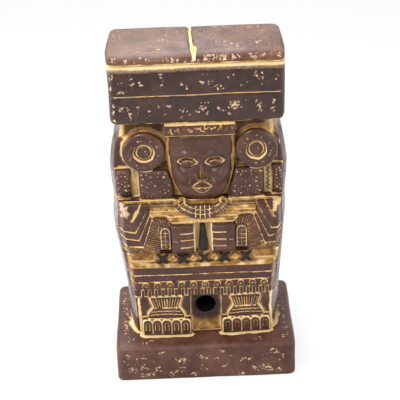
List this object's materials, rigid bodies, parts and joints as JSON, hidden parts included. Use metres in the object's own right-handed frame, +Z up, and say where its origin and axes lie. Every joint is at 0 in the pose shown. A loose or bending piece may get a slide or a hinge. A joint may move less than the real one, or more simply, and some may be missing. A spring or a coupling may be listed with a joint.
{
  "type": "ceramic goddess statuette",
  "caption": "Hollow block-style clay statuette of a goddess with a slab headdress, ear discs, necklace, fringed cape, belted skirt and sandalled feet on a plinth.",
  "frame": {"origin": "middle of the plinth's underside", "axes": "+Z up, the figure looks towards -Y, +X to the viewer's right"},
  "size_m": [0.102, 0.07, 0.19],
  "materials": {
    "burnished_clay": "dark brown burnished fired clay, satin, with ochre slip left in the hollows",
    "relief_clay": "dark red-brown burnished fired clay, satin, with pale ochre slip in the cut lines"
  },
  "bodies": {
    "root": {"ankle_frill_left": "relief_clay", "ankle_frill_right": "relief_clay", "anklet_left": "relief_clay", "anklet_right": "relief_clay", "back_wall": "burnished_clay", "belt": "relief_clay", "belt_crosses": "relief_clay", "belt_diamonds": "relief_clay", "bracelet_left": "relief_clay", "bracelet_right": "relief_clay", "cape_lower_left": "relief_clay", "cape_lower_right": "relief_clay", "cape_upper_left": "relief_clay", "cape_upper_right": "relief_clay", "chest_ledge": "relief_clay", "chest_tie": "relief_clay", "chest_wall": "burnished_clay", "ear_boss_left": "relief_clay", "ear_boss_right": "relief_clay", "ear_disc_left": "relief_clay", "ear_disc_right": "relief_clay", "eyes": "relief_clay", "face": "relief_clay", "foot_left": "relief_clay", "foot_right": "relief_clay", "forehead_band": "relief_clay", "hand_left": "relief_clay", "hand_right": "relief_clay", "head_wall": "burnished_clay", "headdress_lower_band": "burnished_clay", "headdress_top_slab": "burnished_clay", "headdress_upper_band": "burnished_clay", "leg_wall": "burnished_clay", "necklace_lower": "relief_clay", "necklace_middle": "relief_clay", "necklace_upper": "relief_clay", "pendant_left": "relief_clay", "pendant_right": "relief_clay", "plinth": "burnished_clay", "shin_left": "relief_clay", "shin_right": "relief_clay", "shoulder_left": "relief_clay", "shoulder_right": "relief_clay", "side_column_left": "relief_clay", "side_column_right": "relief_clay", "side_wall_left": "burnished_clay", "side_wall_right": "burnished_clay", "skirt_fringe": "relief_clay", "skirt_hem": "relief_clay", "skirt_loop_band": "relief_clay", "skirt_loops": "relief_clay", "skirt_lower_stripe": "relief_clay", "skirt_upper_stripe": "relief_clay", "skirt_wall": "burnished_clay", "sleeve_left": "relief_clay", "sleeve_right": "relief_clay", "toes_left": "relief_clay", "toes_right": "relief_clay"}
  },
  "joints": []
}
